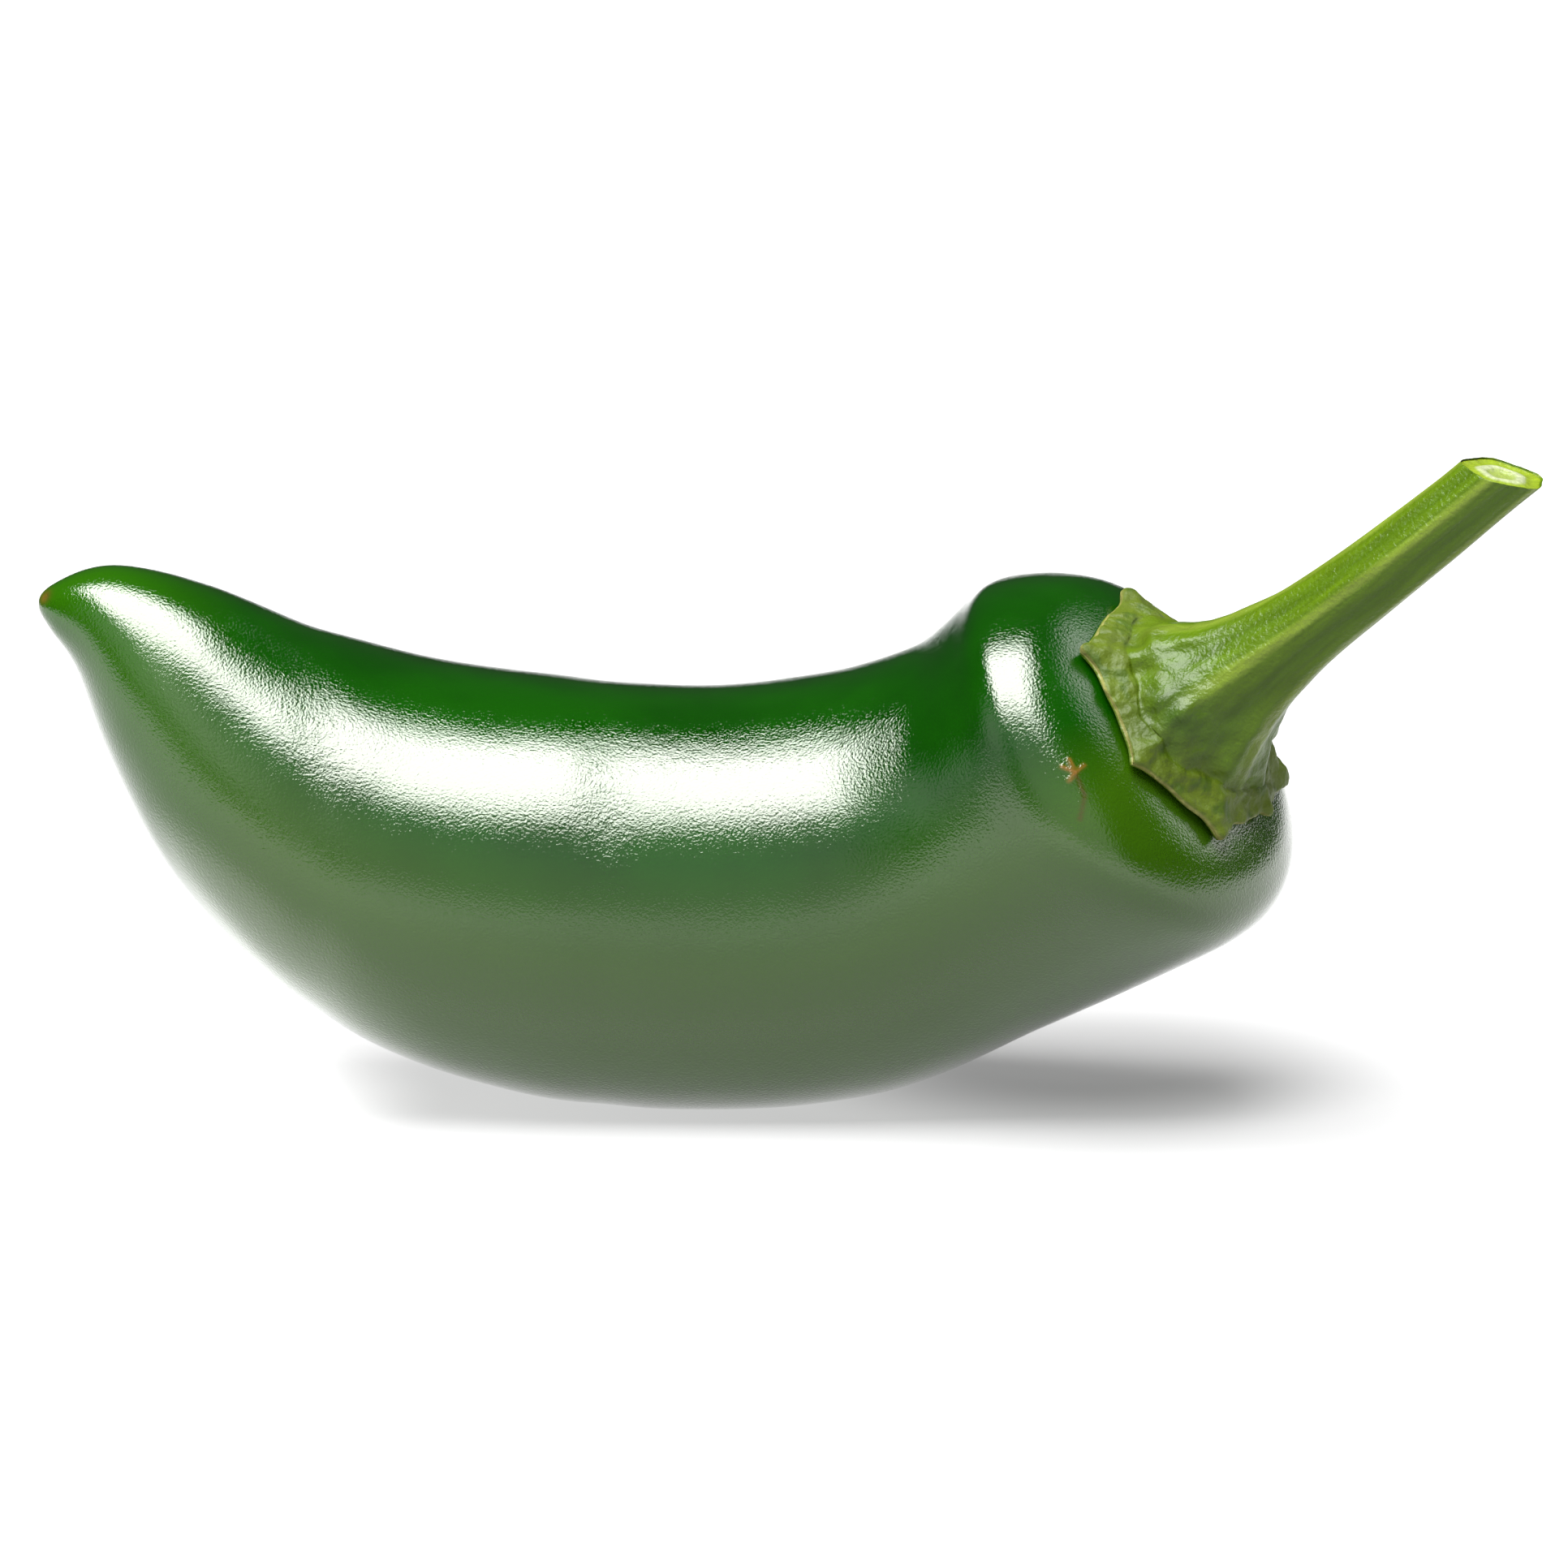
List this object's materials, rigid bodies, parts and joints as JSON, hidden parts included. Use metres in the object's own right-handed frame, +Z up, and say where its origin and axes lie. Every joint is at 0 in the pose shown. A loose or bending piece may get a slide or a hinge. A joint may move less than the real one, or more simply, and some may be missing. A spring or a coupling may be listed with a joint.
{
  "type": "jalapeno pepper",
  "caption": "Whole green jalapeno pepper: a curved glossy pod with a blunt tip and a toothed calyx and cut stem.",
  "frame": {"origin": "on the small flat spot of the belly that the pepper rests on, about under its weight", "axes": "+X from the tip towards the stem, +Y to the back, +Z up"},
  "size_m": [0.0955, 0.0314, 0.0447],
  "materials": {
    "pod_skin": "glossy waxy green pepper skin",
    "stem_skin": "satin yellow-green plant stem"
  },
  "bodies": {
    "root": {"pod": "pod_skin", "stem_and_calyx": "stem_skin"}
  },
  "joints": []
}
